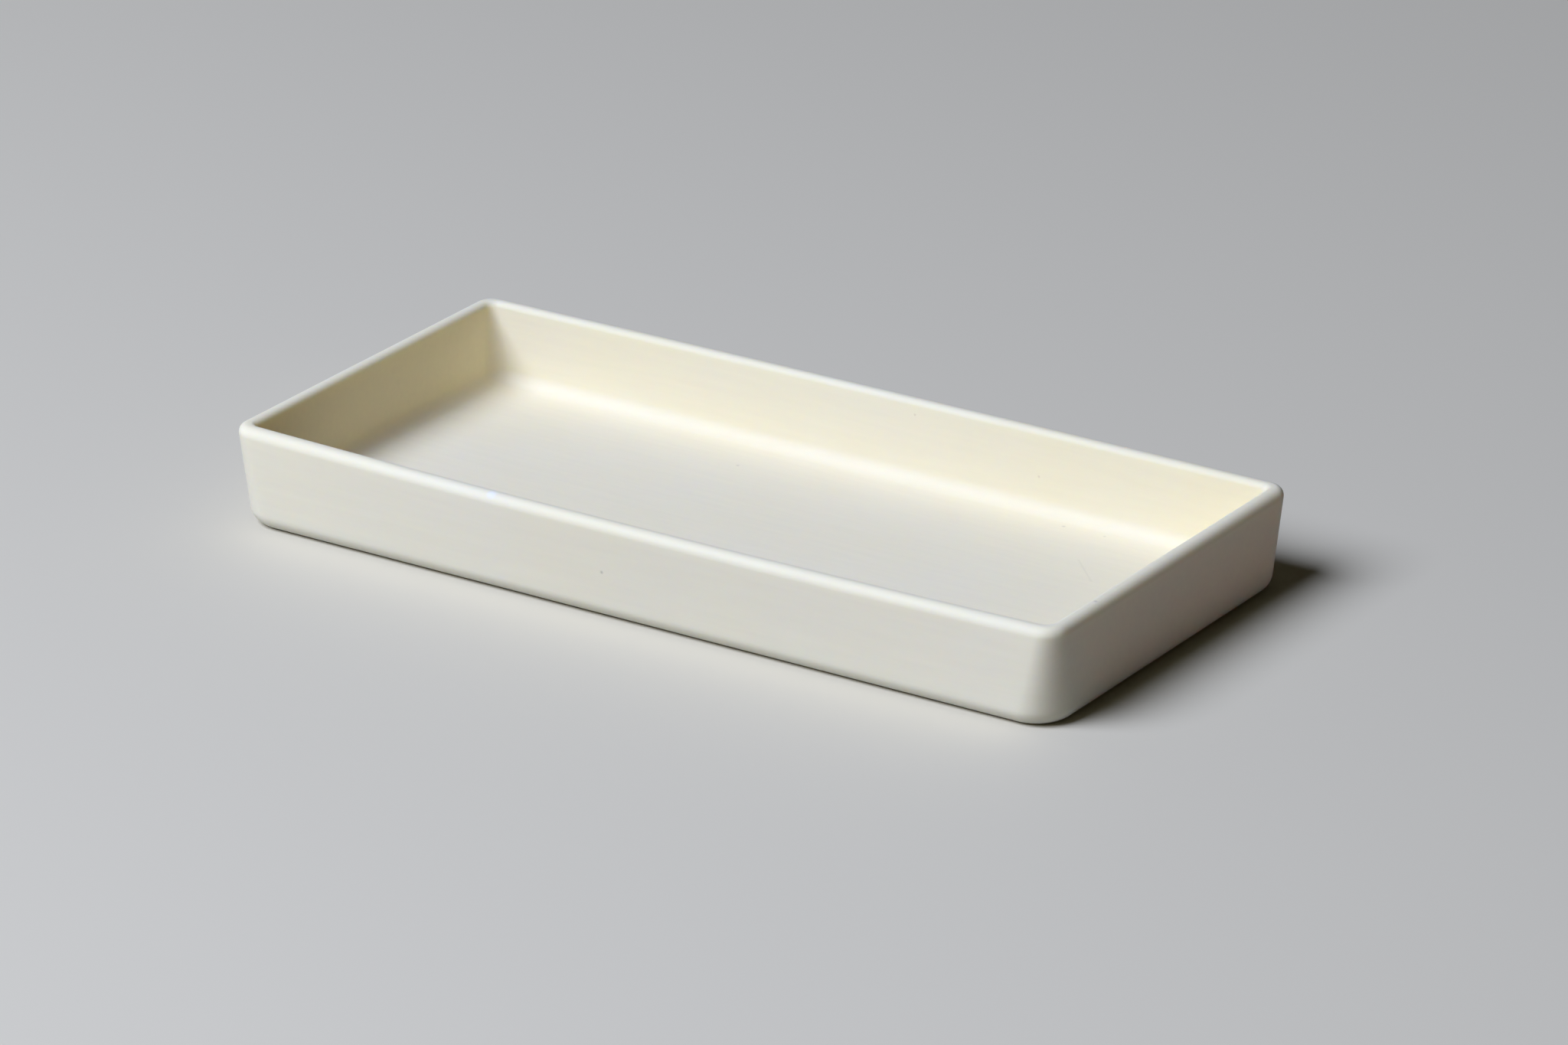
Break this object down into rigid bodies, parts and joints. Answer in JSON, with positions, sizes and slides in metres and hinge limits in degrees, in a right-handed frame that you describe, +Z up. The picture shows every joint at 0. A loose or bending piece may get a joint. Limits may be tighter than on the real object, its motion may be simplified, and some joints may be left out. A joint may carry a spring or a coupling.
{
  "type": "alumina tray",
  "caption": "Shallow rectangular ceramic tray with rounded corners, slightly bulging long walls and a softly rounded rim, for holding samples or powder in a laboratory furnace.",
  "frame": {"origin": "middle of the foot's flat underside, midway between the ends of the foot and between the straight lines that the long walls stand on", "axes": "+X along the tray, +Z up out of the cavity, -Y towards the long wall that bulges more"},
  "size_m": [0.1078, 0.0511, 0.0119],
  "materials": {
    "alumina": "unglazed, matte to satin"
  },
  "bodies": {
    "root": {"tray": "alumina"}
  },
  "joints": []
}
